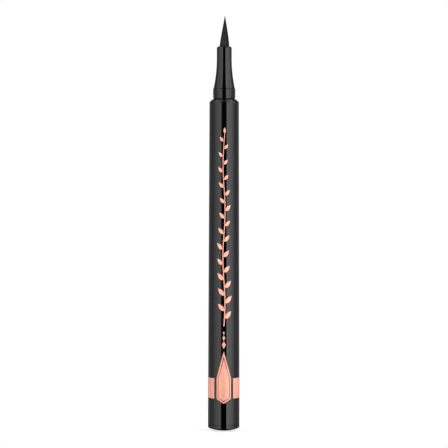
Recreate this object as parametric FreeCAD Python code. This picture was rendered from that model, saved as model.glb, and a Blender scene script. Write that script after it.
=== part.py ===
import FreeCAD, Part
import math
import os

# Liquid eyeliner pen without its cap, tail down and felt tip up.
# Millimetres. The origin is the lowest point of the domed tail, and +Z runs along the axis to the tip.
# Radii are worked out from the inside to the outside: from the feed rod through the tip and the section to
# the barrel's front, and from the mixing ball through the tail plug to the barrel's tail.

# Fits
push_clearance = 0.03        # radial room between pieces that are pushed into each other
seal_clearance = 0.02        # room round a sealing ring in its groove
cut_overrun = 1.0            # how far a cutter passes the faces it opens
seam_chamfer = 0.13          # on the section's edge above the collar, shows as a seam line
tail_seam_chamfer = 0.08     # on both edges of the tail's fine seam

# Felt tip and the sleeve that grips its shank
tip_shank_wall = 0.64        # round the feed rod's end
tip_reach = 9.6              # from the lip to the point
tip_point_radius = 0.06
tip_shank_length = 13.0      # below the lip
tip_socket_depth = 3.0       # hole in the shank's end for the feed rod
tip_middle_height_share = 0.45
tip_middle_radius_share = 0.59
sleeve_wall = 0.29
sleeve_recess = 0.9          # from the end of the section's spigot to the sleeve's end

# Front section
section_wall = 0.43          # at the waist
section_spigot_wall = 0.6
section_spigot_length = 6.0
flare_length = 9.3           # from the collar up to the waist
waist_length = 3.8           # from the flare up to the lip
lip_thickness = 1.2
lip_rounding = 0.6
lip_rounding_limit_share = 0.8    # of the wall at the lip

# Section collar, the cap's seat
collar_height = 3.4
collar_wall = 0.47           # round the section's spigot
collar_seat_width = 0.45     # shoulder that stands on the barrel's rim
collar_step = 0.19           # how far the collar stands out past the section
collar_edge_rounding = 0.22
collar_foot_depth = 0.21     # undercut that shows as a dark line above the barrel's rim
collar_foot_height = 0.37
collar_foot_limit_share = 0.6     # of the seat's width
collar_plug_length = 9.0
collar_socket_floor_room = 0.2

# Barrel
barrel_length = 102.65       # from the tail seam to the rim
rim_width = 0.05             # how far the rim stands out past the collar
shoulder_width = 1.08
shoulder_height = 0.9
shoulder_rounding = 0.5
tank_wall = 1.25             # at the tail
ledge_width = 0.5            # inner ledge that the collector stands on
ledge_thickness = 1.2

# Feed rod and its tube
feed_rod_diameter = 1.8
feed_rod_end_chamfer = 0.2
feed_rod_recess = 0.5        # from the tube's end to the rod's end
feed_tube_wall = 0.37
feed_tube_reach = 8.0        # into the tank, below the collector
feed_tube_socket_depth = 3.0

# Comb collector
collector_length = 23.0
collector_core_wall = 0.75
collector_nose_wall = 0.62
collector_nose_room = 0.4    # from the nose's end to the floor of the collar's socket
collector_rear_flange_height = 2.8
collector_front_flange_height = 0.8
collector_fin_count = 22
collector_fin_share = 0.5    # of the pitch, the rest is the gap
ink_slit_width = 0.3
air_channel_width = 1.2
air_channel_depth = 0.9

# Sealing rings
front_seal_depth = 0.7       # grooves of the collar and of the collector
tail_seal_depth = 0.6
seal_side_room = 0.2         # above and below a ring in its groove

# Tail plug and mixing ball
ball_diameter = 4.76
ball_side_room = 0.32        # between the ball and the plug's cup
ball_rest_gap = 0.1          # between the ball and what stops it
tail_plug_wall = 0.42        # behind the ring's groove
tail_plug_length = 8.0       # above the seam
tail_plug_floor = 3.2        # from the tail's lowest point to the cup's floor
tail_dome_rise = 1.13
tail_side_height = 0.92      # from the dome up to the seam
tail_edge_rounding = 0.4

full_turn = 360
eighth_turn = math.pi / 4

# Radii from the feed rod outwards through the tip
feed_rod_radius = feed_rod_diameter / 2
feed_bore = feed_rod_radius + push_clearance
tip_radius = feed_bore + tip_shank_wall
sleeve_bore = tip_radius + push_clearance
sleeve_radius = sleeve_bore + sleeve_wall
section_bore = sleeve_radius + push_clearance
waist_radius = section_bore + section_wall
spigot_radius = section_bore + section_spigot_wall
collar_socket_radius = spigot_radius + push_clearance
collar_plug_radius = collar_socket_radius + collar_wall
chamber_radius = collar_plug_radius + push_clearance
collar_radius = chamber_radius + collar_seat_width
flare_radius = collar_radius - collar_step
rim_radius = collar_radius + rim_width
front_radius = rim_radius + shoulder_width
collar_foot = min(collar_foot_depth, collar_foot_limit_share * collar_seat_width)
lip_edge = min(lip_rounding, lip_rounding_limit_share * (waist_radius - sleeve_bore))

# Radii from the feed rod outwards through the collector
feed_tube_radius = feed_bore + feed_tube_wall
feed_tube_socket = feed_tube_radius + push_clearance
nose_radius = feed_bore + collector_nose_wall
nose_bore = nose_radius + push_clearance
core_radius = feed_bore + collector_core_wall
collector_radius = chamber_radius - push_clearance
ledge_radius = chamber_radius - ledge_width

# Radii from the ball outwards
ball_radius = ball_diameter / 2
cup_radius = ball_radius + ball_side_room
tail_plug_radius = cup_radius + tail_plug_wall + tail_seal_depth
tank_radius = tail_plug_radius + push_clearance
tail_radius = tank_radius + tank_wall

# Heights from the tail upwards
seam_z = tail_dome_rise + tail_side_height
tail_plug_top_z = seam_z + tail_plug_length
ball_z = tail_plug_floor + ball_rest_gap + ball_radius
rim_z = seam_z + barrel_length
shoulder_z = rim_z - shoulder_height
collar_top_z = rim_z + collar_height
flare_top_z = collar_top_z + flare_length
lip_z = flare_top_z + waist_length
lip_floor_z = lip_z - lip_thickness
tip_z = lip_z + tip_reach
tip_shank_z = lip_z - tip_shank_length
tip_socket_z = tip_shank_z + tip_socket_depth
spigot_z = collar_top_z - section_spigot_length
sleeve_z = spigot_z + sleeve_recess
collar_socket_z = spigot_z - collar_socket_floor_room
collar_plug_z = rim_z - collar_plug_length
collector_z = collar_plug_z - collector_length
ledge_z = collector_z - ledge_thickness
nose_z = collar_socket_z - collector_nose_room
rear_flange_z = collector_z + collector_rear_flange_height
front_flange_z = collar_plug_z - collector_front_flange_height
feed_tube_z = collector_z - feed_tube_reach
feed_tube_top_z = collector_z + feed_tube_socket_depth
feed_rod_z = feed_tube_z + feed_rod_recess

# Middles of the grooves
collar_groove_z = (collar_plug_z + collar_socket_z) / 2
collector_groove_z = (collector_z + rear_flange_z) / 2
tail_groove_z = (seam_z + tail_plug_top_z) / 2

axis = FreeCAD.Vector(0, 0, 1)


def at(radius, height):
    return FreeCAD.Vector(radius, 0, height)


def turned(start, *steps):
    # Solid of revolution. A step is the next corner, or a pair: a point on an arc, and the arc's end.
    edges = []
    here = start
    for step in steps:
        if isinstance(step, tuple):
            through, there = step
            edges.append(Part.Arc(here, through, there).toShape())
        else:
            there = step
            edges.append(Part.LineSegment(here, there).toShape())
        here = there
    edges.append(Part.LineSegment(here, start).toShape())
    return Part.Face(Part.Wire(edges)).revolve(FreeCAD.Vector(), axis, full_turn)


def top_rounding(radius, height, rounding):
    # Quarter arc that turns an outer wall into a top face.
    inset = rounding * (1 - math.cos(eighth_turn))
    return at(radius - inset, height - inset), at(radius - rounding, height)


def rounded_edge(solid, radius, height, rounding):
    # Fillet on the ring-shaped edge of this radius at this height. A pole on the axis has no curve.
    rings = []
    for edge in solid.Edges:
        if edge.Degenerated or not isinstance(edge.Curve, Part.Circle):
            continue
        same_height = math.isclose(edge.Curve.Center.z, height)
        same_radius = math.isclose(edge.Curve.Radius, radius)
        if same_height and same_radius:
            rings.append(edge)
    return solid.makeFillet(rounding, rings)


def groove_steps(wall_radius, bore_radius, middle_z, depth):
    # Corners of a sealing ring's groove, from below to above.
    floor_radius = wall_radius - depth
    half_height = (bore_radius - floor_radius) / 2 + seal_side_room
    low_z = middle_z - half_height
    high_z = middle_z + half_height
    return [
        at(wall_radius, low_z),
        at(floor_radius, low_z),
        at(floor_radius, high_z),
        at(wall_radius, high_z),
    ]


def seal_ring(wall_radius, bore_radius, middle_z, depth):
    # Ring that fills the space between its groove's floor and the bore round it.
    floor_radius = wall_radius - depth
    ring_radius = (floor_radius + bore_radius) / 2
    section_radius = (bore_radius - floor_radius) / 2 - seal_clearance
    return Part.makeTorus(ring_radius, section_radius, at(0, middle_z), axis)


def felt_tip():
    middle = at(tip_radius * tip_middle_radius_share, lip_z + tip_reach * tip_middle_height_share)
    point_z = tip_z - tip_point_radius
    point_side = at(tip_point_radius, point_z)
    point_rounding = (
        at(tip_point_radius * math.cos(eighth_turn), point_z + tip_point_radius * math.sin(eighth_turn)),
        at(0, tip_z),
    )
    return turned(
        at(feed_bore, tip_shank_z),
        at(tip_radius, tip_shank_z),
        at(tip_radius, lip_z),
        (middle, point_side),
        point_rounding,
        at(0, tip_socket_z),
        at(feed_bore, tip_socket_z),
    )


def tip_sleeve():
    return turned(
        at(sleeve_bore, sleeve_z),
        at(sleeve_radius, sleeve_z),
        at(sleeve_radius, lip_floor_z),
        at(sleeve_bore, lip_floor_z),
    )


def front_section():
    # The flare is one arc that meets the straight waist without a corner.
    flare_z = collar_top_z + seam_chamfer
    rise = flare_top_z - flare_z
    spread = flare_radius - waist_radius
    flare_arc_radius = (rise ** 2 + spread ** 2) / (2 * spread)
    middle_spread = flare_arc_radius - math.sqrt(flare_arc_radius ** 2 - (rise / 2) ** 2)
    flare_middle = at(waist_radius + middle_spread, flare_z + rise / 2)
    return turned(
        at(section_bore, spigot_z),
        at(spigot_radius, spigot_z),
        at(spigot_radius, collar_top_z),
        at(flare_radius - seam_chamfer, collar_top_z),
        at(flare_radius, flare_z),
        (flare_middle, at(waist_radius, flare_top_z)),
        at(waist_radius, lip_z - lip_edge),
        top_rounding(waist_radius, lip_z, lip_edge),
        at(sleeve_bore, lip_z),
        at(sleeve_bore, lip_floor_z),
        at(section_bore, lip_floor_z),
    )


def section_collar():
    groove = groove_steps(collar_plug_radius, chamber_radius, collar_groove_z, front_seal_depth)
    return turned(
        at(nose_bore, collar_plug_z),
        at(collar_plug_radius, collar_plug_z),
        *groove,
        at(collar_plug_radius, rim_z),
        at(collar_radius - collar_foot, rim_z),
        at(collar_radius, rim_z + collar_foot_height),
        at(collar_radius, collar_top_z - collar_edge_rounding),
        top_rounding(collar_radius, collar_top_z, collar_edge_rounding),
        at(collar_socket_radius, collar_top_z),
        at(collar_socket_radius, collar_socket_z),
        at(nose_bore, collar_socket_z),
    )


def barrel():
    tube = turned(
        at(tank_radius, seam_z),
        at(tail_radius - tail_seam_chamfer, seam_z),
        at(tail_radius, seam_z + tail_seam_chamfer),
        at(front_radius, shoulder_z),
        at(rim_radius, rim_z),
        at(chamber_radius, rim_z),
        at(chamber_radius, collector_z),
        at(ledge_radius, collector_z),
        at(ledge_radius, ledge_z),
        at(tank_radius, ledge_z),
    )
    return rounded_edge(tube, front_radius, shoulder_z, shoulder_rounding)


def feed_rod():
    end_radius = feed_rod_radius - feed_rod_end_chamfer
    return turned(
        at(0, feed_rod_z),
        at(end_radius, feed_rod_z),
        at(feed_rod_radius, feed_rod_z + feed_rod_end_chamfer),
        at(feed_rod_radius, tip_socket_z - feed_rod_end_chamfer),
        at(end_radius, tip_socket_z),
        at(0, tip_socket_z),
    )


def feed_tube():
    return turned(
        at(feed_bore, feed_tube_z),
        at(feed_tube_radius, feed_tube_z),
        at(feed_tube_radius, feed_tube_top_z),
        at(feed_bore, feed_tube_top_z),
    )


def comb_collector():
    groove = groove_steps(collector_radius, chamber_radius, collector_groove_z, front_seal_depth)
    free_length = front_flange_z - rear_flange_z
    gap_share = 1 - collector_fin_share
    pitch = free_length / (collector_fin_count + gap_share)
    fins = []
    for number in range(collector_fin_count):
        low_z = rear_flange_z + pitch * (number + gap_share)
        high_z = low_z + pitch * collector_fin_share
        fins += [
            at(core_radius, low_z),
            at(collector_radius, low_z),
            at(collector_radius, high_z),
            at(core_radius, high_z),
        ]
    comb = turned(
        at(feed_tube_socket, collector_z),
        at(collector_radius, collector_z),
        *groove,
        at(collector_radius, rear_flange_z),
        at(core_radius, rear_flange_z),
        *fins,
        at(core_radius, front_flange_z),
        at(collector_radius, front_flange_z),
        at(collector_radius, collar_plug_z),
        at(nose_radius, collar_plug_z),
        at(nose_radius, nose_z),
        at(feed_bore, nose_z),
        at(feed_bore, feed_tube_top_z),
        at(feed_tube_socket, feed_tube_top_z),
    )
    # The ink slit opens the fins to the rod on one side, and the air channel is on the other.
    reach = collector_radius + cut_overrun
    slit_corner = FreeCAD.Vector(0, -ink_slit_width / 2, rear_flange_z)
    ink_slit = Part.makeBox(reach, ink_slit_width, free_length, slit_corner)
    channel_corner = FreeCAD.Vector(-reach, -air_channel_width / 2, rear_flange_z)
    channel_cut = air_channel_depth + cut_overrun
    air_channel = Part.makeBox(channel_cut, air_channel_width, free_length, channel_corner)
    return comb.cut([ink_slit, air_channel])


def tail_plug():
    groove = groove_steps(tail_plug_radius, tank_radius, tail_groove_z, tail_seal_depth)
    dome_radius = (tail_radius ** 2 + tail_dome_rise ** 2) / (2 * tail_dome_rise)
    dome_middle = at(tail_radius / 2, dome_radius - math.sqrt(dome_radius ** 2 - (tail_radius / 2) ** 2))
    plug = turned(
        at(0, 0),
        (dome_middle, at(tail_radius, tail_dome_rise)),
        at(tail_radius, seam_z - tail_seam_chamfer),
        at(tail_radius - tail_seam_chamfer, seam_z),
        at(tail_plug_radius, seam_z),
        *groove,
        at(tail_plug_radius, tail_plug_top_z),
        at(cup_radius, tail_plug_top_z),
        at(cup_radius, tail_plug_floor),
        at(0, tail_plug_floor),
    )
    return rounded_edge(plug, tail_radius, tail_dome_rise, tail_edge_rounding)


def mixing_ball():
    return Part.makeSphere(ball_radius, at(0, ball_z))


pieces = {
    "felt_tip": felt_tip(),
    "tip_sleeve": tip_sleeve(),
    "front_section": front_section(),
    "section_collar": section_collar(),
    "section_seal": seal_ring(collar_plug_radius, chamber_radius, collar_groove_z, front_seal_depth),
    "feed_rod": feed_rod(),
    "feed_tube": feed_tube(),
    "comb_collector": comb_collector(),
    "collector_seal": seal_ring(collector_radius, chamber_radius, collector_groove_z, front_seal_depth),
    "barrel": barrel(),
    "mixing_ball": mixing_ball(),
    "tail_plug": tail_plug(),
    "tail_seal": seal_ring(tail_plug_radius, tank_radius, tail_groove_z, tail_seal_depth),
}

os.makedirs("parts", exist_ok=True)
for name, solid in pieces.items():
    solid.exportStep(os.path.join("parts", name + ".step"))
    print(name, solid.ShapeType, len(solid.Solids), solid.isValid(), round(solid.Volume, 3))

ball_travel = feed_tube_z - ball_rest_gap - (ball_z + ball_radius)
print("overall length", round(tip_z, 3), "ball travel", round(ball_travel, 3))
print("collar", round(collar_radius, 3), "from", round(rim_z, 3), "to", round(collar_top_z, 3))
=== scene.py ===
import math

import bpy
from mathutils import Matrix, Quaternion, Vector


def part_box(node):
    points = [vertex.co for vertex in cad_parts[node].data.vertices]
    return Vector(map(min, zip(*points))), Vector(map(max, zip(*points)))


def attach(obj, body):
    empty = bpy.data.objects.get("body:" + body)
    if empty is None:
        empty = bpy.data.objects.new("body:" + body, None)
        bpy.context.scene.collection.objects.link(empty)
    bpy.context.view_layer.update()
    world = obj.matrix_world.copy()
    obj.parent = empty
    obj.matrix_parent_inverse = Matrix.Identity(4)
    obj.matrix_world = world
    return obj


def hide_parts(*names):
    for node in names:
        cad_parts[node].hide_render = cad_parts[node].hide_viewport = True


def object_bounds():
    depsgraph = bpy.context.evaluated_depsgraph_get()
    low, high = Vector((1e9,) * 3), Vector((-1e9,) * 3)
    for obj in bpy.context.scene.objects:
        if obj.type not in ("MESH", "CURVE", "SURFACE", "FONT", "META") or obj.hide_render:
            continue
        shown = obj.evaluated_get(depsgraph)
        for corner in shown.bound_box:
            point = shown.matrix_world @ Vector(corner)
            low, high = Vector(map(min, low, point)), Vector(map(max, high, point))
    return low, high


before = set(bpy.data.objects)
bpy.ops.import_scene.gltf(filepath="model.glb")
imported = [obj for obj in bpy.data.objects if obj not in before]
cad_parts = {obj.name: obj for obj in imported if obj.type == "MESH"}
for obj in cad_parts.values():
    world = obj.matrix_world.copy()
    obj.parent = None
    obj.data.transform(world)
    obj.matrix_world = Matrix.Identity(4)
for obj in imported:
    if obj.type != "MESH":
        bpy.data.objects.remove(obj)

cadLow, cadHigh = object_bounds()
mm = 0.001   # the pen's sizes are in millimetres; meshes, floor, lamps and camera are in metres


def addNode(tree, kind, values=None, **settings):
    node = tree.nodes.new(kind)
    for name, value in settings.items():
        setattr(node, name, value)
    for name, value in (values or {}).items():
        if isinstance(value, bpy.types.NodeSocket):
            tree.links.new(value, node.inputs[name])
        else:
            node.inputs[name].default_value = value
    return node


def linkTo(tree, socket, target):
    tree.links.new(socket, target)


def calc(tree, operation, *values):
    return addNode(tree, "ShaderNodeMath", dict(enumerate(values)), operation=operation).outputs[0]


def ranged(tree, value, limits, **settings):
    return addNode(tree, "ShaderNodeMapRange", {"Value": value, **limits}, **settings).outputs[0]


def splitXyz(tree, vector):
    return addNode(tree, "ShaderNodeSeparateXYZ", {0: vector}).outputs


def joinXyz(tree, *values):
    return addNode(tree, "ShaderNodeCombineXYZ", dict(enumerate(values))).outputs[0]


def newTree(name, kind, inputs, outputs):
    tree = bpy.data.node_groups.new(name, kind)
    for label, socketType, value in inputs:
        socket = tree.interface.new_socket(label, in_out="INPUT", socket_type="NodeSocket" + socketType)
        if value is not None:
            socket.default_value = value
    for label, socketType in outputs:
        tree.interface.new_socket(label, in_out="OUTPUT", socket_type="NodeSocket" + socketType)
    return tree, tree.nodes.new("NodeGroupInput").outputs, tree.nodes.new("NodeGroupOutput").inputs


# Shader groups

grainMix = {
    "fineDetail": 4.0, "broadDetail": 2.0, "broadScale": 0.12,
    "fineShare": 0.45, "broadShare": 0.55, "low": 0.3, "high": 0.7,
}


def buildMouldedGrain():
    # faint flow marks and fine grain: a roughness between two limits, and a height for a bump
    tree, given, result = newTree(
        "mouldedGrain",
        "ShaderNodeTree",
        [("Grain Scale", "Float", 900.0), ("Low", "Float", 0.05), ("High", "Float", 0.1)],
        [("Roughness", "Float"), ("Height", "Float")],
    )
    place = addNode(tree, "ShaderNodeTexCoord").outputs["Object"]
    broadScale = calc(tree, "MULTIPLY", given["Grain Scale"], grainMix["broadScale"])
    fine = addNode(tree, "ShaderNodeTexNoise", {
        "Vector": place, "Scale": given["Grain Scale"], "Detail": grainMix["fineDetail"],
    }).outputs[0]
    broad = addNode(tree, "ShaderNodeTexNoise", {
        "Vector": place, "Scale": broadScale, "Detail": grainMix["broadDetail"],
    }).outputs[0]
    finePart = calc(tree, "MULTIPLY", fine, grainMix["fineShare"])
    broadPart = calc(tree, "MULTIPLY", broad, grainMix["broadShare"])
    rough = ranged(tree, calc(tree, "ADD", finePart, broadPart), {
        "From Min": grainMix["low"], "From Max": grainMix["high"],
        "To Min": given["Low"], "To Max": given["High"],
    })
    linkTo(tree, rough, result["Roughness"])
    linkTo(tree, fine, result["Height"])
    return tree


streakMix = {
    "detail": 5.0, "roughness": 0.6, "low": 0.32, "high": 0.68,
    "shadeFrom": 0.4, "shadeFull": 0.8, "mattest": 0.92, "smoothest": 0.7,
}


def buildFibreStreaks():
    # lengthwise fibres: fine across the piece, long along its axis
    tree, given, result = newTree(
        "fibreStreaks",
        "ShaderNodeTree",
        [
            ("Across", "Float", 9000.0), ("Along", "Float", 350.0), ("Painted Shade", "Float", 0.0),
            ("Dark", "Color", None), ("Light", "Color", None),
        ],
        [("Color", "Color"), ("Roughness", "Float"), ("Height", "Float")],
    )
    x, y, z = splitXyz(tree, addNode(tree, "ShaderNodeTexCoord").outputs["Object"])
    stretched = joinXyz(
        tree,
        calc(tree, "MULTIPLY", x, given["Across"]),
        calc(tree, "MULTIPLY", y, given["Across"]),
        calc(tree, "MULTIPLY", z, given["Along"]),
    )
    noise = addNode(tree, "ShaderNodeTexNoise", {
        "Vector": stretched, "Scale": 1.0,
        "Detail": streakMix["detail"], "Roughness": streakMix["roughness"],
    })
    strands = ranged(tree, noise.outputs[0], {"From Min": streakMix["low"], "From Max": streakMix["high"]})
    # painted shade: the side towards +x is painted darker and hides the strands there
    squares = calc(tree, "ADD", calc(tree, "MULTIPLY", x, x), calc(tree, "MULTIPLY", y, y))
    facing = calc(tree, "DIVIDE", x, calc(tree, "MAXIMUM", calc(tree, "SQRT", squares), 1e-6))
    shadeMask = ranged(tree, facing, {"From Min": streakMix["shadeFrom"], "From Max": streakMix["shadeFull"]})
    unshaded = calc(tree, "SUBTRACT", 1.0, calc(tree, "MULTIPLY", shadeMask, given["Painted Shade"]))
    tint = addNode(tree, "ShaderNodeMix", {
        0: calc(tree, "MULTIPLY", strands, unshaded), 6: given["Dark"], 7: given["Light"],
    }, data_type="RGBA")
    rough = ranged(tree, strands, {"To Min": streakMix["mattest"], "To Max": streakMix["smoothest"]})
    linkTo(tree, tint.outputs[2], result["Color"])
    linkTo(tree, rough, result["Roughness"])
    linkTo(tree, strands, result["Height"])
    return tree


mouldedGrain = buildMouldedGrain()
fibreStreaks = buildFibreStreaks()
print("shader groups built")


# Materials

def newMaterial(name):
    material = bpy.data.materials.new(name)
    material.use_nodes = True
    tree = material.node_tree
    return material, tree, tree.nodes["Principled BSDF"]


def addBump(tree, height, shader, strength, distance):
    bump = addNode(tree, "ShaderNodeBump", {"Height": height, "Strength": strength, "Distance": distance})
    linkTo(tree, bump.outputs[0], shader.inputs["Normal"])


def grainedMaterial(name, look):
    material, tree, shader = newMaterial(name)
    grain = addNode(tree, "ShaderNodeGroup", node_tree=mouldedGrain)
    for label, key in (("Grain Scale", "grain"), ("Low", "lowRoughness"), ("High", "highRoughness")):
        grain.inputs[label].default_value = look[key]
    # the tint drifts a little with the fine grain, so no surface is one flat colour
    tint = addNode(tree, "ShaderNodeMix", {0: grain.outputs["Height"]}, data_type="RGBA")
    tint.inputs[6].default_value = (*look["darkTint"], 1.0)
    tint.inputs[7].default_value = (*look["lightTint"], 1.0)
    linkTo(tree, tint.outputs[2], shader.inputs["Base Color"])
    linkTo(tree, grain.outputs["Roughness"], shader.inputs["Roughness"])
    shader.inputs["Metallic"].default_value = look.get("metallic", 0.0)
    shader.inputs["Specular IOR Level"].default_value = look.get("specular", 0.5)
    addBump(tree, grain.outputs["Height"], shader, look["bump"], look["bumpDepth"])
    return material


def fibreMaterial(name, look):
    material, tree, shader = newMaterial(name)
    streaks = addNode(tree, "ShaderNodeGroup", node_tree=fibreStreaks)
    for label, key in (("Across", "across"), ("Along", "along"), ("Painted Shade", "paintedShade")):
        streaks.inputs[label].default_value = look[key]
    streaks.inputs["Dark"].default_value = (*look["darkTint"], 1.0)
    streaks.inputs["Light"].default_value = (*look["lightTint"], 1.0)
    linkTo(tree, streaks.outputs["Color"], shader.inputs["Base Color"])
    linkTo(tree, streaks.outputs["Roughness"], shader.inputs["Roughness"])
    shader.inputs["Sheen Weight"].default_value = look["sheen"]
    shader.inputs["Specular IOR Level"].default_value = look["specular"]
    addBump(tree, streaks.outputs["Height"], shader, look["bump"], look["bumpDepth"])
    return material


glossBlack = grainedMaterial("glossBlack", {
    "darkTint": (0.0008, 0.0008, 0.0009), "lightTint": (0.0014, 0.0014, 0.0015),
    "grain": 1400.0, "lowRoughness": 0.045, "highRoughness": 0.085, "specular": 0.41,
    "bump": 0.03, "bumpDepth": 0.00001,
})
roseFoil = grainedMaterial("roseFoil", {
    "darkTint": (0.93, 0.405, 0.29), "lightTint": (1.0, 0.455, 0.335), "metallic": 0.12,
    "grain": 5200.0, "lowRoughness": 0.34, "highRoughness": 0.5, "bump": 0.12, "bumpDepth": 0.00001,
})
naturalPlastic = grainedMaterial("naturalPlastic", {
    "darkTint": (0.78, 0.78, 0.74), "lightTint": (0.86, 0.86, 0.83),
    "grain": 1800.0, "lowRoughness": 0.32, "highRoughness": 0.46, "bump": 0.08, "bumpDepth": 0.00002,
})
sealRubber = grainedMaterial("sealRubber", {
    "darkTint": (0.022, 0.022, 0.022), "lightTint": (0.04, 0.04, 0.039),
    "grain": 4000.0, "lowRoughness": 0.45, "highRoughness": 0.62, "bump": 0.15, "bumpDepth": 0.00002,
})
ballSteel = grainedMaterial("ballSteel", {
    "darkTint": (0.58, 0.58, 0.59), "lightTint": (0.66, 0.66, 0.67), "metallic": 1.0,
    "grain": 2600.0, "lowRoughness": 0.08, "highRoughness": 0.16, "bump": 0.02, "bumpDepth": 0.00001,
})
# the felt's side towards +x carries painted shade, darker than the rest
feltBlack = fibreMaterial("feltBlack", {
    "darkTint": (0.0066, 0.0064, 0.0064), "lightTint": (0.044, 0.0418, 0.041),
    "across": 9000.0, "along": 260.0, "paintedShade": 0.9, "sheen": 0.0, "specular": 0.03,
    "bump": 0.5, "bumpDepth": 0.00003,
})
rodFibre = fibreMaterial("rodFibre", {
    "darkTint": (0.035, 0.035, 0.038), "lightTint": (0.09, 0.09, 0.097),
    "across": 7000.0, "along": 260.0, "paintedShade": 0.0, "sheen": 0.05, "specular": 0.4,
    "bump": 0.4, "bumpDepth": 0.00003,
})
print("materials built")


# Geometry trees

mergeReach = {"turned": 1e-7, "foil": 1e-6}    # metres


def positionOf(tree):
    return addNode(tree, "GeometryNodeInputPosition").outputs[0]


def moveTo(tree, geometry, place):
    return addNode(tree, "GeometryNodeSetPosition", {"Geometry": geometry, "Position": place}).outputs[0]


def roundAxis(tree, radius, angle, height):
    # angles run from the front, at -y, towards +x
    front = calc(tree, "MULTIPLY", radius, calc(tree, "COSINE", angle))
    return joinXyz(
        tree,
        calc(tree, "MULTIPLY", radius, calc(tree, "SINE", angle)),
        calc(tree, "MULTIPLY", front, -1.0),
        height,
    )


def mergeClose(tree, geometry, distance):
    merge = addNode(tree, "GeometryNodeMergeByDistance", {"Geometry": geometry, "Distance": distance})
    return merge.outputs[0]


def shadeSmooth(tree, geometry):
    return addNode(tree, "GeometryNodeSetShadeSmooth", {"Geometry": geometry}).outputs[0]


def endTree(tree, geometry, given, result):
    real = addNode(tree, "GeometryNodeRealizeInstances", {"Geometry": geometry})
    coated = addNode(tree, "GeometryNodeSetMaterial", {
        "Geometry": real.outputs[0], "Material": given["Material"],
    })
    linkTo(tree, coated.outputs[0], result["Geometry"])


def growPiece(name, tree, values, startMesh=None, sharpAngle=35):
    piece = bpy.data.objects.new(name, startMesh or bpy.data.meshes.new(name))
    bpy.context.collection.objects.link(piece)
    modifier = piece.modifiers.new(name, "NODES")
    modifier.node_group = tree
    for item in tree.interface.items_tree:
        if item.in_out == "INPUT" and item.name in values:
            modifier[item.identifier] = values[item.name]
    evaluated = piece.evaluated_get(bpy.context.evaluated_depsgraph_get())
    grown = bpy.data.meshes.new_from_object(evaluated)
    piece.modifiers.remove(modifier)
    piece.data = grown
    grown.name = name
    grown.materials.clear()   # the bake leaves an empty first slot
    grown.materials.append(values["Material"])
    grown.set_sharp_from_angle(angle=math.radians(sharpAngle))
    return piece


# Turned pieces: a profile goes up the outside and down the bore, and the tree turns it round the axis

def buildTurnedTree():
    tree, given, result = newTree(
        "turnedPiece",
        "GeometryNodeTree",
        [("Geometry", "Geometry", None), ("Around", "Int", 192), ("Material", "Material", None)],
        [("Geometry", "Geometry")],
    )
    size = addNode(tree, "GeometryNodeAttributeDomainSize", {0: given["Geometry"]}, component="MESH")
    count = size.outputs["Point Count"]
    rows = calc(tree, "SUBTRACT", count, 1.0)
    columns = calc(tree, "ADD", given["Around"], 1.0)
    sheet = addNode(tree, "GeometryNodeMeshGrid", {
        "Size X": 1.0, "Size Y": rows, "Vertices X": columns, "Vertices Y": count,
    })
    flatX, flatY = splitXyz(tree, positionOf(tree))[:2]
    row = calc(tree, "ROUND", calc(tree, "ADD", flatY, calc(tree, "MULTIPLY", rows, 0.5)))
    angle = calc(tree, "MULTIPLY", calc(tree, "ADD", flatX, 0.5), math.tau)
    sample = addNode(tree, "GeometryNodeSampleIndex", data_type="FLOAT_VECTOR", domain="POINT")
    linkTo(tree, given["Geometry"], sample.inputs["Geometry"])
    linkTo(tree, positionOf(tree), sample.inputs["Value"])
    linkTo(tree, row, sample.inputs["Index"])
    point = splitXyz(tree, sample.outputs[0])
    turned = roundAxis(tree, point["X"], angle, point["Z"])
    closed = mergeClose(tree, moveTo(tree, sheet.outputs[0], turned), mergeReach["turned"])
    endTree(tree, shadeSmooth(tree, closed), given, result)
    return tree


turnedPiece = buildTurnedTree()


def roundedCorner(before, corner, after, rounding, steps=6):
    back = (before - corner).normalized()
    onward = (after - corner).normalized()
    half = back.angle(onward) / 2
    centre = corner + (back + onward).normalized() * (rounding / math.sin(half))
    start = corner + back * (rounding / math.tan(half)) - centre
    end = corner + onward * (rounding / math.tan(half)) - centre
    return [centre + start.lerp(end, step / steps).normalized() * rounding for step in range(steps + 1)]


def turnedProfile(name, corners, closed, support=0.05, longRun=0.4):
    # a corner is (radius, height) or (radius, height, rounding)
    places = [Vector(corner[:2]) for corner in corners]
    points = []
    for number, corner in enumerate(corners):
        if len(corner) == 3:
            following = places[(number + 1) % len(places)]
            points += roundedCorner(places[number - 1], places[number], following, corner[2])
        else:
            points.append(places[number])
    if closed:
        points.append(points[0])
    # long straight runs get a row close to each end, so the roundings don't bend their shading
    path = [points[0]]
    for before, after in zip(points, points[1:]):
        run = (after - before).length
        if run > longRun:
            path += [before.lerp(after, support / run), after.lerp(before, support / run)]
        path.append(after)
    mesh = bpy.data.meshes.new(name + "_profile")
    mesh.from_pydata([(point.x * mm, 0.0, point.y * mm) for point in path], [], [])
    return mesh


def turnPiece(name, shape, material, profile):
    return growPiece(name, turnedPiece, {"Around": shape["around"], "Material": material}, profile)


def nodeSpan(node):
    low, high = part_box(node)
    return high.x / mm, low.z / mm, high.z / mm


def arcPoints(radiusAt, low, high, count):
    heights = [low + (high - low) * step / count for step in range(count + 1)]
    return [(radiusAt(height), height) for height in heights]


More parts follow.
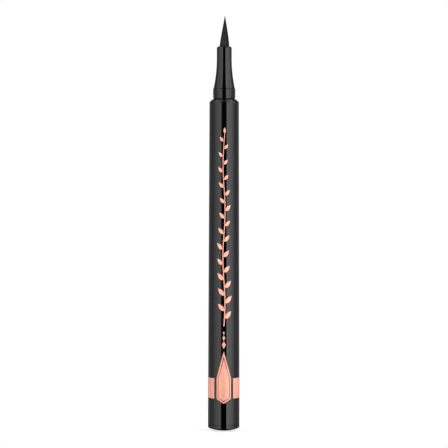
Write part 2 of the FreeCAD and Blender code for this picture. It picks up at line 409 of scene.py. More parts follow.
barrelRadius, barrelLow, barrelHigh = nodeSpan("barrel")
barrelShape = {
    "frontRadius": 4.63, "rimRadius": 3.55, "shoulderHeight": 0.9, "shoulderRounding": 0.5,
    "rimRounding": 0.35, "seamChamfer": 0.08, "seamRounding": 0.03, "tankRadius": 3.75,
    "chamberRadius": 3.05, "ledgeRadius": 2.55, "ledgeLow": 71.5, "ledgeHigh": 72.7, "around": 256,
}
shoulderLow = barrelHigh - barrelShape["shoulderHeight"]
barrelProfile = turnedProfile("barrel", [
    (barrelShape["tankRadius"], barrelLow),
    (barrelRadius - barrelShape["seamChamfer"], barrelLow),
    (barrelRadius, barrelLow + barrelShape["seamChamfer"], barrelShape["seamRounding"]),
    (barrelShape["frontRadius"], shoulderLow, barrelShape["shoulderRounding"]),
    (barrelShape["rimRadius"], barrelHigh, barrelShape["rimRounding"]),
    (barrelShape["chamberRadius"], barrelHigh),
    (barrelShape["chamberRadius"], barrelShape["ledgeHigh"]),
    (barrelShape["ledgeRadius"], barrelShape["ledgeHigh"]),
    (barrelShape["ledgeRadius"], barrelShape["ledgeLow"]),
    (barrelShape["tankRadius"], barrelShape["ledgeLow"]),
], closed=True)
barrelTube = turnPiece("barrel_tube", barrelShape, glossBlack, barrelProfile)

tailRadius, tailLow, tailHigh = nodeSpan("tail_plug")
tailShape = {
    "domeRise": 0.97, "domeInset": 0.3, "domeSteps": 24, "edgeRounding": 0.5,
    "seamHeight": 2.05, "seamChamfer": 0.08, "seamRounding": 0.03, "plugRadius": 3.72,
    "grooveRadius": 3.12, "grooveLow": 5.535, "grooveHigh": 6.565,
    "cupRadius": 2.7, "cupFloor": 3.2, "around": 256,
}
domeRadius = (tailRadius ** 2 + tailShape["domeRise"] ** 2) / (2 * tailShape["domeRise"])
domeReach = tailRadius - tailShape["domeInset"]
tailDome = []
for step in range(tailShape["domeSteps"] + 1):
    out = domeReach * step / tailShape["domeSteps"]
    tailDome.append((out, tailLow + domeRadius - math.sqrt(domeRadius ** 2 - out ** 2)))
tailProfile = turnedProfile("tail", tailDome + [
    (tailRadius, tailShape["domeRise"], tailShape["edgeRounding"]),
    (tailRadius, tailShape["seamHeight"] - tailShape["seamChamfer"], tailShape["seamRounding"]),
    (tailRadius - tailShape["seamChamfer"], tailShape["seamHeight"]),
    (tailShape["plugRadius"], tailShape["seamHeight"]),
    (tailShape["plugRadius"], tailShape["grooveLow"]),
    (tailShape["grooveRadius"], tailShape["grooveLow"]),
    (tailShape["grooveRadius"], tailShape["grooveHigh"]),
    (tailShape["plugRadius"], tailShape["grooveHigh"]),
    (tailShape["plugRadius"], tailHigh),
    (tailShape["cupRadius"], tailHigh),
    (tailShape["cupRadius"], tailShape["cupFloor"]),
    (0.0, tailShape["cupFloor"]),
], closed=False)
tailPlug = turnPiece("tail_dome", tailShape, glossBlack, tailProfile)

collarRadius, collarLow, collarHigh = nodeSpan("section_collar")
collarShape = {
    "seatHeight": 104.7, "footDepth": 0.21, "footHeight": 0.37, "footRounding": 0.03, "topRounding": 0.22,
    "plugRadius": 3.02, "grooveRadius": 2.32, "grooveLow": 98.235, "grooveHigh": 99.365,
    "socketRadius": 2.55, "socketFloor": 101.9, "noseBore": 1.58, "around": 192,
}
collarProfile = turnedProfile("collar", [
    (collarShape["noseBore"], collarLow),
    (collarShape["plugRadius"], collarLow),
    (collarShape["plugRadius"], collarShape["grooveLow"]),
    (collarShape["grooveRadius"], collarShape["grooveLow"]),
    (collarShape["grooveRadius"], collarShape["grooveHigh"]),
    (collarShape["plugRadius"], collarShape["grooveHigh"]),
    (collarShape["plugRadius"], collarShape["seatHeight"]),
    (collarRadius - collarShape["footDepth"], collarShape["seatHeight"]),
    (collarRadius, collarShape["seatHeight"] + collarShape["footHeight"], collarShape["footRounding"]),
    (collarRadius, collarHigh, collarShape["topRounding"]),
    (collarShape["socketRadius"], collarHigh),
    (collarShape["socketRadius"], collarShape["socketFloor"]),
    (collarShape["noseBore"], collarShape["socketFloor"]),
], closed=True)
capCollar = turnPiece("cap_collar", collarShape, glossBlack, collarProfile)

flareRadius, sectionLow, lipHeight = nodeSpan("front_section")
sectionShape = {
    "boreRadius": 1.92, "spigotRadius": 2.52, "seamChamfer": 0.13, "flareSteps": 32,
    "waistRadius": 2.35, "waistHeight": 117.4, "lipRounding": 0.6, "lipBore": 1.6,
    "lipBoreRounding": 0.05, "lipFloor": 120.0, "around": 192,
}
flareLow = collarHigh + sectionShape["seamChamfer"]
flareRise = sectionShape["waistHeight"] - flareLow
flareSpread = flareRadius - sectionShape["waistRadius"]
flareArc = (flareRise ** 2 + flareSpread ** 2) / (2 * flareSpread)


def flareAt(height):
    below = sectionShape["waistHeight"] - height
    return sectionShape["waistRadius"] + flareArc - math.sqrt(flareArc ** 2 - below ** 2)


sectionProfile = turnedProfile("section", [
    (sectionShape["boreRadius"], sectionLow),
    (sectionShape["spigotRadius"], sectionLow),
    (sectionShape["spigotRadius"], collarHigh),
    (flareRadius - sectionShape["seamChamfer"], collarHigh),
    *arcPoints(flareAt, flareLow, sectionShape["waistHeight"], sectionShape["flareSteps"]),
    (sectionShape["waistRadius"], lipHeight, sectionShape["lipRounding"]),
    (sectionShape["lipBore"], lipHeight, sectionShape["lipBoreRounding"]),
    (sectionShape["lipBore"], sectionShape["lipFloor"]),
    (sectionShape["boreRadius"], sectionShape["lipFloor"]),
], closed=True)
nozzle = turnPiece("flared_nozzle", sectionShape, glossBlack, sectionProfile)
print("turned pieces built")


# Felt tip: a turned core with fibres bonded along it

shankRadius, shankLow, tipHigh = nodeSpan("felt_tip")
tipShape = {
    "socketRadius": 0.93, "socketTop": 111.2, "shankDrop": 0.2,
    "bulge": 0.55, "pointRadius": 0.06, "lean": 0.2, "leanPower": 0.4,
    "coreInset": 0.03, "coreLeast": 0.05, "coreEnd": (0.035, 0.05), "coreDrop": 0.03,
    "coreSteps": 40, "around": 128,
    "fibres": 92, "fibreRadius": 0.055, "fibreEndRadius": 0.016, "fibreEndReach": 0.032,
    "fibreInset": 0.028, "fibreFoot": 0.5, "fibreBend": 0.25, "fibreSteps": 20, "fibreSides": 6,
    "jitter": 0.3, "leastScale": (0.975, 0.975, 0.965), "seed": 7,
}


def buildFibreTree():
    tree, given, result = newTree(
        "tipFibres",
        "GeometryNodeTree",
        [
            ("Fibres", "Int", 90), ("Foot Height", "Float", 0.0), ("Foot Radius", "Float", 0.001),
            ("Middle Radius", "Float", 0.0009), ("Middle Height", "Float", 0.003),
            ("End Radius", "Float", 0.0001), ("Length", "Float", 0.01), ("Fibre Radius", "Float", 0.00005),
            ("Fibre End", "Float", 0.00001), ("Seed", "Int", 0), ("Material", "Material", None),
        ],
        [("Geometry", "Geometry")],
    )
    path = addNode(tree, "GeometryNodeCurveQuadraticBezier", {
        "Resolution": tipShape["fibreSteps"],
        "Start": joinXyz(tree, given["Foot Radius"]),
        "Middle": joinXyz(tree, given["Middle Radius"], 0.0, given["Middle Height"]),
        "End": joinXyz(tree, given["End Radius"], 0.0, given["Length"]),
    })
    along = addNode(tree, "GeometryNodeSplineParameter").outputs["Factor"]
    taper = ranged(tree, along, {"To Min": given["Fibre Radius"], "To Max": given["Fibre End"]})
    ring = addNode(tree, "GeometryNodeCurvePrimitiveCircle", {
        "Resolution": tipShape["fibreSides"], "Radius": 1.0,
    })
    fibre = addNode(tree, "GeometryNodeCurveToMesh", {
        "Curve": path.outputs[0], "Profile Curve": ring.outputs[0], "Scale": taper, "Fill Caps": True,
    })
    feet = addNode(tree, "GeometryNodePoints", {
        "Count": given["Fibres"], "Position": joinXyz(tree, 0.0, 0.0, given["Foot Height"]),
    })
    index = addNode(tree, "GeometryNodeInputIndex").outputs[0]
    jitter = addNode(tree, "FunctionNodeRandomValue", {"Seed": given["Seed"]}, data_type="FLOAT")
    jitter.inputs[2].default_value = -tipShape["jitter"]
    jitter.inputs[3].default_value = tipShape["jitter"]
    share = calc(tree, "DIVIDE", calc(tree, "ADD", index, jitter.outputs[1]), given["Fibres"])
    turn = joinXyz(tree, 0.0, 0.0, calc(tree, "MULTIPLY", share, math.tau))
    spin = addNode(tree, "FunctionNodeEulerToRotation", {0: turn})
    sizeSeed = calc(tree, "ADD", given["Seed"], 1.0)
    size = addNode(tree, "FunctionNodeRandomValue", {"Seed": sizeSeed}, data_type="FLOAT_VECTOR")
    size.inputs[0].default_value = tipShape["leastScale"]
    size.inputs[1].default_value = (1.0, 1.0, 1.0)
    bundle = addNode(tree, "GeometryNodeInstanceOnPoints", {
        "Points": feet.outputs[0], "Instance": shadeSmooth(tree, fibre.outputs[0]),
        "Rotation": spin.outputs[0], "Scale": size.outputs[0],
    })
    endTree(tree, bundle.outputs[0], given, result)
    return tree


# the outline runs from the foot to the point and bulges above the foot
tipReach = tipHigh - lipHeight
pointHeight = tipHigh - tipShape["pointRadius"]


def tipAt(height):
    share = (height - lipHeight) / (pointHeight - lipHeight)
    bulge = tipShape["bulge"] * share * (1 - share) ** 2
    return shankRadius + (tipShape["pointRadius"] - shankRadius) * share + bulge


coreEndRadius, coreEndDrop = tipShape["coreEnd"]
tipProfile = turnedProfile("tip", [
    (0.0, tipShape["socketTop"]),
    (tipShape["socketRadius"], tipShape["socketTop"]),
    (tipShape["socketRadius"], shankLow),
    (shankRadius, shankLow),
    (shankRadius, lipHeight - tipShape["shankDrop"]),
    *[
        (max(radius - tipShape["coreInset"], tipShape["coreLeast"]), height)
        for radius, height in arcPoints(tipAt, lipHeight, pointHeight, tipShape["coreSteps"])
    ],
    (coreEndRadius, tipHigh - coreEndDrop),
    (0.0, tipHigh - tipShape["coreDrop"]),
], closed=False)
tipCore = turnPiece("felt_core", tipShape, feltBlack, tipProfile)
fibreFoot = lipHeight - tipShape["fibreFoot"]
fibreLength = tipHigh - tipShape["fibreEndRadius"] - fibreFoot
fibreBend = tipShape["fibreBend"] * fibreLength
# halfway along its path, a fibre lies just under the outline
fibreMiddle = tipAt(fibreFoot + fibreLength / 4 + fibreBend / 2)
footRadius = shankRadius - tipShape["fibreRadius"]
endRadius = tipShape["fibreEndReach"]
tipFibres = growPiece("felt_fibres", buildFibreTree(), {
    "Fibres": tipShape["fibres"], "Foot Height": fibreFoot * mm, "Foot Radius": footRadius * mm,
    "Middle Radius": (2 * (fibreMiddle - tipShape["fibreInset"]) - (footRadius + endRadius) / 2) * mm,
    "Middle Height": fibreBend * mm, "End Radius": endRadius * mm, "Length": fibreLength * mm,
    "Fibre Radius": tipShape["fibreRadius"] * mm, "Fibre End": tipShape["fibreEndRadius"] * mm,
    "Seed": tipShape["seed"], "Material": feltBlack,
}, sharpAngle=60)


def leanTip(piece):
    for vertex in piece.data.vertices:
        share = max(0.0, (vertex.co.z / mm - lipHeight) / tipReach)
        vertex.co.x += tipShape["lean"] * mm * share ** tipShape["leanPower"]


leanTip(tipCore)
leanTip(tipFibres)
print("felt tip built:", len(tipFibres.data.polygons), "fibre faces")


# Rose foil: flat artwork pressed onto the tapered barrel

foilShape = {"lift": 0.004, "thickness": 0.016, "detail": 4}
barrelTaper = (barrelShape["frontRadius"] - barrelRadius) / (shoulderLow - barrelLow)
pressSizes = {
    "Base Radius": (barrelRadius - barrelTaper * barrelLow + foilShape["lift"]) * mm,
    "Taper": barrelTaper,
    "Thickness": foilShape["thickness"] * mm,
    "Material": roseFoil,
}


def buildPressTree():
    # flat x runs round the barrel from its front, flat y is the height
    tree, given, result = newTree(
        "pressedFoil",
        "GeometryNodeTree",
        [
            ("Geometry", "Geometry", None), ("Detail", "Int", 0), ("Base Radius", "Float", 0.005),
            ("Taper", "Float", 0.0), ("Thickness", "Float", 0.00002), ("Material", "Material", None),
        ],
        [("Geometry", "Geometry")],
    )
    joined = mergeClose(tree, given["Geometry"], mergeReach["foil"])
    fine = addNode(tree, "GeometryNodeSubdivideMesh", {"Mesh": joined, "Level": given["Detail"]})
    flatX, flatY = splitXyz(tree, positionOf(tree))[:2]
    narrowing = calc(tree, "MULTIPLY", flatY, given["Taper"])
    radius = calc(tree, "ADD", given["Base Radius"], narrowing)
    angle = calc(tree, "DIVIDE", flatX, given["Base Radius"])
    under = moveTo(tree, fine.outputs[0], roundAxis(tree, radius, angle, flatY))
    raised = addNode(tree, "GeometryNodeExtrudeMesh", {
        "Mesh": under, "Offset Scale": given["Thickness"], "Individual": False,
    }, mode="FACES")
    turnedOver = addNode(tree, "GeometryNodeFlipFaces", {"Mesh": under})
    shell = addNode(tree, "GeometryNodeJoinGeometry")
    linkTo(tree, raised.outputs["Mesh"], shell.inputs[0])
    linkTo(tree, turnedOver.outputs[0], shell.inputs[0])
    closed = mergeClose(tree, shell.outputs[0], mergeReach["foil"])
    endTree(tree, shadeSmooth(tree, closed), given, result)
    return tree


pressedFoil = buildPressTree()

beltShape = {
    "low": 10.6, "high": 17.0, "gap": 3.2, "cells": 28,
    "crystalHalf": 2.35, "crystalLow": 9.0, "crystalHigh": 25.6, "frame": 0.42, "line": 0.2,
    "lozenges": ((27.6, 0.62, 1.25), (29.8, 0.44, 0.85), (31.4, 0.28, 0.55)),
}


def crystalOutline(inset):
    half = beltShape["crystalHalf"] - inset
    slope = (beltShape["crystalHigh"] - beltShape["high"]) / beltShape["crystalHalf"]
    rootSlope = (beltShape["low"] - beltShape["crystalLow"]) / beltShape["crystalHalf"]
    top = beltShape["crystalHigh"] - inset * math.hypot(1.0, slope)
    root = beltShape["crystalLow"] + inset * math.hypot(1.0, rootSlope)
    return [
        (0.0, root), (half, root + half * rootSlope), (half, top - half * slope),
        (0.0, top), (-half, top - half * slope), (-half, root + half * rootSlope),
    ]


def flatMesh(name, faces):
    # one loose face for each outline, in flat millimetres
    vertices = []
    polygons = []
    for outline in faces:
        polygons.append(list(range(len(vertices), len(vertices) + len(outline))))
        vertices += [(x * mm, y * mm, 0.0) for x, y in outline]
    mesh = bpy.data.meshes.new(name)
    mesh.from_pydata(vertices, [], polygons)
    return mesh


halfRound = math.pi * pressSizes["Base Radius"] / mm
beltStep = (2 * halfRound - 2 * beltShape["gap"]) / beltShape["cells"]
beltLow, beltHigh = beltShape["low"], beltShape["high"]
beltFaces = []
for cell in range(beltShape["cells"]):
    left = beltShape["gap"] + cell * beltStep
    right = left + beltStep
    beltFaces.append([(left, beltLow), (right, beltLow), (right, beltHigh), (left, beltHigh)])
outer = crystalOutline(0.0)
inner = crystalOutline(beltShape["frame"])
for number in range(len(outer)):
    following = (number + 1) % len(outer)
    beltFaces.append([outer[number], outer[following], inner[following], inner[number]])
beltFaces.append(crystalOutline(beltShape["frame"] + beltShape["line"]))
for height, halfWidth, halfHeight in beltShape["lozenges"]:
    beltFaces.append([
        (0.0, height - halfHeight), (halfWidth, height), (0.0, height + halfHeight), (-halfWidth, height),
    ])
beltValues = {**pressSizes, "Detail": foilShape["detail"]}
foilBelt = growPiece("foil_belt", pressedFoil, beltValues, flatMesh("foil_belt", beltFaces))

sprigShape = {
    "low": 33.5, "leaves": 24, "spacing": 2.42, "stemWidth": 0.34, "sway": 0.35, "swayLength": 29.0,
    "leafLength": 3.0, "leafWidth": 1.35, "leafAngle": 40.0, "leafGap": 0.12, "tipScale": 0.6,
    "leafGrid": (7, 15), "stemGrid": (3, 160), "swellPower": 0.8, "leafVary": (0.94, 1.06), "seed": 11,
}


def buildSprigTree():
    tree, given, result = newTree(
        "foilSprig",
        "GeometryNodeTree",
        [
            ("Leaves", "Int", 24), ("Spacing", "Float", 0.002), ("Foot Height", "Float", 0.03),
            ("Stem Width", "Float", 0.0003), ("Sway", "Float", 0.0003), ("Sway Length", "Float", 0.03),
            ("Leaf Length", "Float", 0.003), ("Leaf Width", "Float", 0.001), ("Leaf Angle", "Float", 0.7),
            ("Leaf Gap", "Float", 0.0001), ("Tip Scale", "Float", 0.6), ("Seed", "Int", 0),
            ("Base Radius", "Float", 0.005), ("Taper", "Float", 0.0), ("Thickness", "Float", 0.00002),
            ("Material", "Material", None),
        ],
        [("Geometry", "Geometry")],
    )
    flatX, flatY = splitXyz(tree, positionOf(tree))[:2]
    along = calc(tree, "ADD", flatY, 0.5)

    def unitGrid(columns, rows):
        return addNode(tree, "GeometryNodeMeshGrid", {
            "Size X": 1.0, "Size Y": 1.0, "Vertices X": columns, "Vertices Y": rows,
        }).outputs[0]

    def swayAt(height):
        above = calc(tree, "SUBTRACT", height, given["Foot Height"])
        turns = calc(tree, "DIVIDE", above, given["Sway Length"])
        wave = calc(tree, "SINE", calc(tree, "MULTIPLY", turns, math.tau))
        return calc(tree, "MULTIPLY", wave, given["Sway"])

    # one leaf, its foot at the origin and its point along y
    swelling = calc(tree, "POWER", along, sprigShape["swellPower"])
    swell = calc(tree, "SINE", calc(tree, "MULTIPLY", swelling, math.pi))
    width = calc(tree, "MULTIPLY", calc(tree, "MULTIPLY", flatX, given["Leaf Width"]), swell)
    leafPlace = joinXyz(tree, width, calc(tree, "MULTIPLY", along, given["Leaf Length"]))
    leaf = moveTo(tree, unitGrid(*sprigShape["leafGrid"]), leafPlace)

    # leaves left and right in turn, smaller towards the end
    feet = addNode(tree, "GeometryNodeMeshLine", {
        "Count": given["Leaves"],
        "Start Location": joinXyz(tree, 0.0, calc(tree, "ADD", given["Foot Height"], given["Spacing"])),
        "Offset": joinXyz(tree, 0.0, given["Spacing"]),
    })
    index = addNode(tree, "GeometryNodeInputIndex").outputs[0]
    side = calc(tree, "SUBTRACT", calc(tree, "MULTIPLY", calc(tree, "MODULO", index, 2.0), 2.0), 1.0)
    standOff = calc(tree, "ADD", calc(tree, "MULTIPLY", given["Stem Width"], 0.5), given["Leaf Gap"])
    footX = calc(tree, "SUBTRACT", swayAt(flatY), calc(tree, "MULTIPLY", side, standOff))
    placed = moveTo(tree, feet.outputs[0], joinXyz(tree, footX, flatY))
    lean = joinXyz(tree, 0.0, 0.0, calc(tree, "MULTIPLY", side, given["Leaf Angle"]))
    spin = addNode(tree, "FunctionNodeEulerToRotation", {0: lean})
    share = calc(tree, "DIVIDE", index, given["Leaves"])
    shrink = ranged(tree, share, {"To Min": 1.0, "To Max": given["Tip Scale"]})
    vary = addNode(tree, "FunctionNodeRandomValue", {"Seed": given["Seed"]}, data_type="FLOAT")
    vary.inputs[2].default_value, vary.inputs[3].default_value = sprigShape["leafVary"]
    leaves = addNode(tree, "GeometryNodeInstanceOnPoints", {
        "Points": placed, "Instance": leaf, "Rotation": spin.outputs[0],
        "Scale": calc(tree, "MULTIPLY", shrink, vary.outputs[1]),
    })
    leavesReal = addNode(tree, "GeometryNodeRealizeInstances", {"Geometry": leaves.outputs[0]}).outputs[0]

    # the stem narrows upwards and ends in one upright leaf
    stemLength = calc(tree, "MULTIPLY", given["Spacing"], calc(tree, "ADD", given["Leaves"], 1.0))
    stemY = calc(tree, "ADD", given["Foot Height"], calc(tree, "MULTIPLY", along, stemLength))
    narrow = ranged(tree, along, {"To Min": 1.0, "To Max": given["Tip Scale"]})
    stemX = calc(tree, "MULTIPLY", calc(tree, "MULTIPLY", flatX, given["Stem Width"]), narrow)
    stemPlace = joinXyz(tree, calc(tree, "ADD", stemX, swayAt(stemY)), stemY)
    stem = moveTo(tree, unitGrid(*sprigShape["stemGrid"]), stemPlace)
    budY = calc(tree, "ADD", calc(tree, "ADD", given["Foot Height"], stemLength), given["Leaf Gap"])
    bud = addNode(tree, "GeometryNodeTransform", {
        "Geometry": leaf, "Translation": joinXyz(tree, swayAt(budY), budY),
        "Scale": joinXyz(tree, given["Tip Scale"], given["Tip Scale"], 1.0),
    }).outputs[0]

    flat = addNode(tree, "GeometryNodeJoinGeometry")
    for part in (leavesReal, stem, bud):
        linkTo(tree, part, flat.inputs[0])
    press = addNode(tree, "GeometryNodeGroup", node_tree=pressedFoil)
    linkTo(tree, flat.outputs[0], press.inputs["Geometry"])
    for name in ("Base Radius", "Taper", "Thickness", "Material"):
        linkTo(tree, given[name], press.inputs[name])
    endTree(tree, press.outputs[0], given, result)
    return tree


foilSprig = growPiece("foil_sprig", buildSprigTree(), {
    **pressSizes,
    "Leaves": sprigShape["leaves"], "Spacing": sprigShape["spacing"] * mm,
    "Foot Height": sprigShape["low"] * mm, "Stem Width": sprigShape["stemWidth"] * mm,
    "Sway": sprigShape["sway"] * mm, "Sway Length": sprigShape["swayLength"] * mm,
    "Leaf Length": sprigShape["leafLength"] * mm, "Leaf Width": sprigShape["leafWidth"] * mm,
    "Leaf Angle": math.radians(sprigShape["leafAngle"]), "Leaf Gap": sprigShape["leafGap"] * mm,
    "Tip Scale": sprigShape["tipScale"], "Seed": sprigShape["seed"],
})
print("foil built:", len(foilBelt.data.polygons) + len(foilSprig.data.polygons), "faces")


# Pieces on their bodies, and finishes on the pieces inside

shown = (
    (barrelTube, "barrel", "gloss_black"),
    (tailPlug, "tail_plug", "gloss_black"),
    (capCollar, "section_collar", "gloss_black"),
    (nozzle, "front_section", "gloss_black"),
    (tipCore, "felt_tip", "felt_black"),
)
for piece, node, slot in shown:
    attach(piece, "pen")
    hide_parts(node)
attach(tipFibres, "pen")
for piece in (foilBelt, foilSprig):
    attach(piece, "pen")

inside = {
    "tip_sleeve": naturalPlastic, "feed_tube": naturalPlastic, "comb_collector": naturalPlastic,
    "feed_rod": rodFibre, "section_seal": sealRubber, "collector_seal": sealRubber,
    "tail_seal": sealRubber, "mixing_ball": ballSteel,
}
for node, material in inside.items():
    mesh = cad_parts[node].data
    mesh.materials.clear()
    mesh.materials.append(material)
print("pieces on their bodies")


# Floor

floorShape = {
    "radius": 0.05, "rings": 24, "around": 96,
    "white": 0.4, "whiteDrift": 0.01, "paperScale": 400.0, "roughness": 0.9, "glow": 0.73,
}


def buildFloor():
    vertices = [(0.0, 0.0, 0.0)]
    polygons = []
    around = floorShape["around"]
    for ring in range(1, floorShape["rings"] + 1):
        radius = floorShape["radius"] * ring / floorShape["rings"]
        for step in range(around):
            angle = math.tau * step / around
            vertices.append((radius * math.cos(angle), radius * math.sin(angle), 0.0))
    for step in range(around):
        polygons.append((0, 1 + step, 1 + (step + 1) % around))
    for ring in range(floorShape["rings"] - 1):
        low = 1 + ring * around
        for step in range(around):
            following = (step + 1) % around
            polygons.append((low + step, low + around + step, low + around + following, low + following))
    mesh = bpy.data.meshes.new("floor_disc")
    mesh.from_pydata(vertices, [], polygons)
    floor = bpy.data.objects.new("floor_disc", mesh)
    bpy.context.collection.objects.link(floor)
    return floor


def seenShare(tree):
    rays = addNode(tree, "ShaderNodeLightPath").outputs
    return calc(tree, "MAXIMUM", rays["Is Camera Ray"], rays["Is Transmission Ray"])


floorPaper, floorTree, floorShader = newMaterial("floorPaper")
paperNoise = addNode(floorTree, "ShaderNodeTexNoise", {
    "Vector": addNode(floorTree, "ShaderNodeTexCoord").outputs["Object"], "Scale": floorShape["paperScale"],
})
paperTint = ranged(floorTree, paperNoise.outputs[0], {
    "To Min": floorShape["white"] - floorShape["whiteDrift"],
    "To Max": floorShape["white"] + floorShape["whiteDrift"],
})
paperGlow = calc(floorTree, "MULTIPLY", seenShare(floorTree), floorShape["glow"])
linkTo(floorTree, paperTint, floorShader.inputs["Base Color"])
linkTo(floorTree, paperGlow, floorShader.inputs["Emission Strength"])
floorShader.inputs["Roughness"].default_value = floorShape["roughness"]
floorShader.inputs["Specular IOR Level"].default_value = 0.0
floorShader.inputs["Emission Color"].default_value = (1.0, 1.0, 1.0, 1.0)
floorDisc = buildFloor()
floorDisc.data.materials.append(floorPaper)
floorDisc.visible_glossy = False   # the room, not the paper, mirrors in the tail
print("floor staged")


# White room: white for the camera, soft light from both sides of the pen, and a pale wall behind it

roomLight = {
    # brightness by azimuth from the camera's side, right positive
    "sides": (
        (-105.0, 0.4), (-93.0, 0.6), (-82.0, 0.85), (-72.0, 1.2), (-63.0, 1.55), (-54.0, 1.75),
        (-45.0, 2.1), (-35.0, 2.15), (-21.5, 2.1), (-19.5, 0.0), (19.0, 0.0), (21.0, 3.6), (31.0, 3.15),
        (40.0, 2.9), (50.0, 2.8), (57.0, 2.45), (66.0, 2.05), (75.0, 1.45), (84.0, 0.95), (96.0, 0.6),
        (105.0, 0.4),
    ),
    "sidesEnd": 144.0, "peak": 4.0, "lowEdge": (-0.86, -0.78), "highEdge": (0.54, 0.62),
    # brightness by depth, from the camera's side to straight behind
    "wall": (
        (0.0, 0.0), (0.5, 0.024), (0.57, 0.44), (0.74, 0.42), (0.87, 0.37), (0.94, 0.24), (0.985, 0.25),
        (0.995, 1.0),
    ),
    "slit": (0.1, 0.2), "behind": (0.93, 0.97), "wallTop": (-0.01, 0.15), "wallHigh": 0.45,
}
room = bpy.data.worlds.new("whiteRoom")
room.use_nodes = True
bpy.context.scene.world = room
roomTree = room.node_tree


def roomRamp(value, stops):
    node = addNode(roomTree, "ShaderNodeValToRGB", {0: value})
    elements = node.color_ramp.elements
    while len(elements) < len(stops):
        elements.new(1.0)
    for element, (position, level) in zip(elements, stops):
        element.position = position
        element.color = (level, level, level, 1.0)
    return node.outputs[0]


def roomStep(value, edges, rising=True):
    low, high = (0.0, 1.0) if rising else (1.0, 0.0)
    return ranged(roomTree, value, {
        "From Min": edges[0], "From Max": edges[1], "To Min": low, "To Max": high,
    })


def roomCalc(operation, *values):
    return calc(roomTree, operation, *values)


roomPlace = addNode(roomTree, "ShaderNodeTexCoord").outputs["Generated"]
across, depth, height = splitXyz(roomTree, roomPlace)
azimuth = roomCalc("ARCTAN2", across, roomCalc("MULTIPLY", depth, -1.0))
turnShare = roomCalc("ADD", roomCalc("DIVIDE", azimuth, math.tau), 0.5)
sideStops = [(0.0, 0.0)]
for angle, level in (*roomLight["sides"], (roomLight["sidesEnd"], 0.0)):
    sideStops.append((0.5 + angle / 360, level / roomLight["peak"]))
sides = roomCalc("MULTIPLY", roomRamp(turnShare, sideStops), roomLight["peak"])
aboveLow = roomStep(height, roomLight["lowEdge"])
belowHigh = roomStep(height, roomLight["highEdge"], False)
sides = roomCalc("MULTIPLY", sides, roomCalc("MULTIPLY", aboveLow, belowHigh))
wall = roomRamp(roomStep(depth, (-1.0, 1.0)), roomLight["wall"])
wallFall = roomCalc("MAXIMUM", roomStep(height, roomLight["wallTop"], False), roomLight["wallHigh"])
# a dark slit runs over and under the pen between the two sides, as far as the wall behind
slit = roomStep(roomCalc("ABSOLUTE", across), roomLight["slit"])
wallShare = roomCalc("MAXIMUM", slit, roomStep(depth, roomLight["behind"]))
wall = roomCalc("MULTIPLY", roomCalc("MULTIPLY", wall, wallFall), wallShare)
lit = roomCalc("MAXIMUM", sides, wall)
roomColor = addNode(roomTree, "ShaderNodeMix", {0: seenShare(roomTree), 2: lit, 3: 1.0}, data_type="FLOAT")
linkTo(roomTree, roomColor.outputs[0], roomTree.nodes["Background"].inputs["Color"])


# Soft boxes: azimuth and elevation in degrees from the camera's side, right positive

aim = (cadLow + cadHigh) / 2
highBox = {"elevation": 62.0, "distance": 1.2, "height": 0.84}
nozzleBox = {
    "elevation": 0.0, "distance": 0.3, "height": 0.16, "shift": (0.0, 0.1126), "feather": (0.3, 0.156),
}
softBoxes = {
    "rightTop": {**highBox, "from": 66.0, "to": 114.0, "shift": (-0.15, 0.0), "radiance": 3.0},
    "rightRear": {**highBox, "from": 62.0, "to": 118.0, "shift": (0.4, 0.0), "radiance": 1.2},
    "leftTop": {**highBox, "from": -114.0, "to": -66.0, "shift": (-0.15, 0.0), "radiance": 2.6},
    "leftRear": {**highBox, "from": -118.0, "to": -62.0, "shift": (0.4, 0.0), "radiance": 0.85},
    "leftFill": {
        "elevation": 40.0, "distance": 1.2, "height": 0.4, "from": -90.0, "to": -50.0,
        "shift": (0.0, 0.0), "radiance": 2.4, "feather": (0.4, 0.4),
    },
    # beside the nozzle alone, which mirrors wider light than the barrel
    "rightNozzle": {**nozzleBox, "from": 60.0, "to": 109.0, "radiance": 1.1},
    "leftNozzle": {**nozzleBox, "from": -102.0, "to": -62.0, "radiance": 0.7},
}


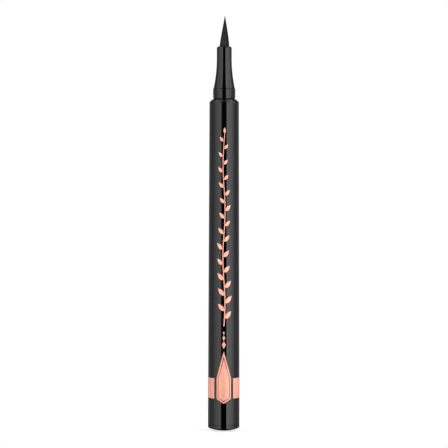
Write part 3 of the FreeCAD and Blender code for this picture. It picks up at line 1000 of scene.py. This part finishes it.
def featherLamp(lamp, feather):
    # the box fades out towards its edges
    lamp.use_nodes = True
    tree = lamp.node_tree
    place = splitXyz(tree, addNode(tree, "ShaderNodeNewGeometry").outputs["Parametric"])
    glow = 1.0
    for side, edge in zip(place, feather):
        within = calc(tree, "MINIMUM", side, calc(tree, "SUBTRACT", 1.0, side))
        fade = ranged(tree, within, {"From Max": edge}, interpolation_type="SMOOTHSTEP")
        glow = calc(tree, "MULTIPLY", glow, fade)
    linkTo(tree, glow, tree.nodes["Emission"].inputs["Strength"])


for name, box in softBoxes.items():
    turn = math.radians((box["from"] + box["to"]) / 2)
    elevation = math.radians(box["elevation"])
    level = box["distance"] * math.cos(elevation)
    rise = box["distance"] * math.sin(elevation)
    lamp = bpy.data.lights.new(name, "AREA")
    lamp.shape = "RECTANGLE"
    lamp.size = 2 * level * math.tan(math.radians(box["to"] - box["from"]) / 2)
    lamp.size_y = box["height"]
    lamp.energy = box["radiance"] * math.pi * lamp.size * lamp.size_y
    if "feather" in box:
        featherLamp(lamp, box["feather"])
    holder = bpy.data.objects.new(name, lamp)
    holder.location = aim + Vector((level * math.sin(turn), -level * math.cos(turn), rise))
    holder.rotation_euler = (aim - holder.location).to_track_quat("-Z", "Y").to_euler()
    holder.location += Vector((0.0, *box["shift"]))
    holder.visible_camera = False
    bpy.context.collection.objects.link(holder)
print("room and soft boxes set")


# Camera

cameraView = {
    "elevation": 3.5, "distance": 0.95, "frameHeight": 0.1411, "aimHeight": 0.06538, "roll": 0.09,
    "sensor": 36.0, "nearest": 0.01, "farthest": 20.0,
}
camera = bpy.data.objects.new("camera", bpy.data.cameras.new("camera"))
tilt = math.radians(cameraView["elevation"])
target = Vector((0.0, 0.0, cameraView["aimHeight"]))
camera.location = target + cameraView["distance"] * Vector((0.0, -math.cos(tilt), math.sin(tilt)))
look = (target - camera.location).to_track_quat("-Z", "Y")
roll = Quaternion((0.0, 0.0, 1.0), math.radians(cameraView["roll"]))
camera.rotation_euler = (look @ roll).to_euler()
camera.data.sensor_width = cameraView["sensor"]
camera.data.lens = cameraView["sensor"] * cameraView["distance"] / cameraView["frameHeight"]
camera.data.clip_start = cameraView["nearest"]
camera.data.clip_end = cameraView["farthest"]
bpy.context.collection.objects.link(camera)
bpy.context.scene.camera = camera
bpy.context.scene.view_settings.view_transform = "Standard"
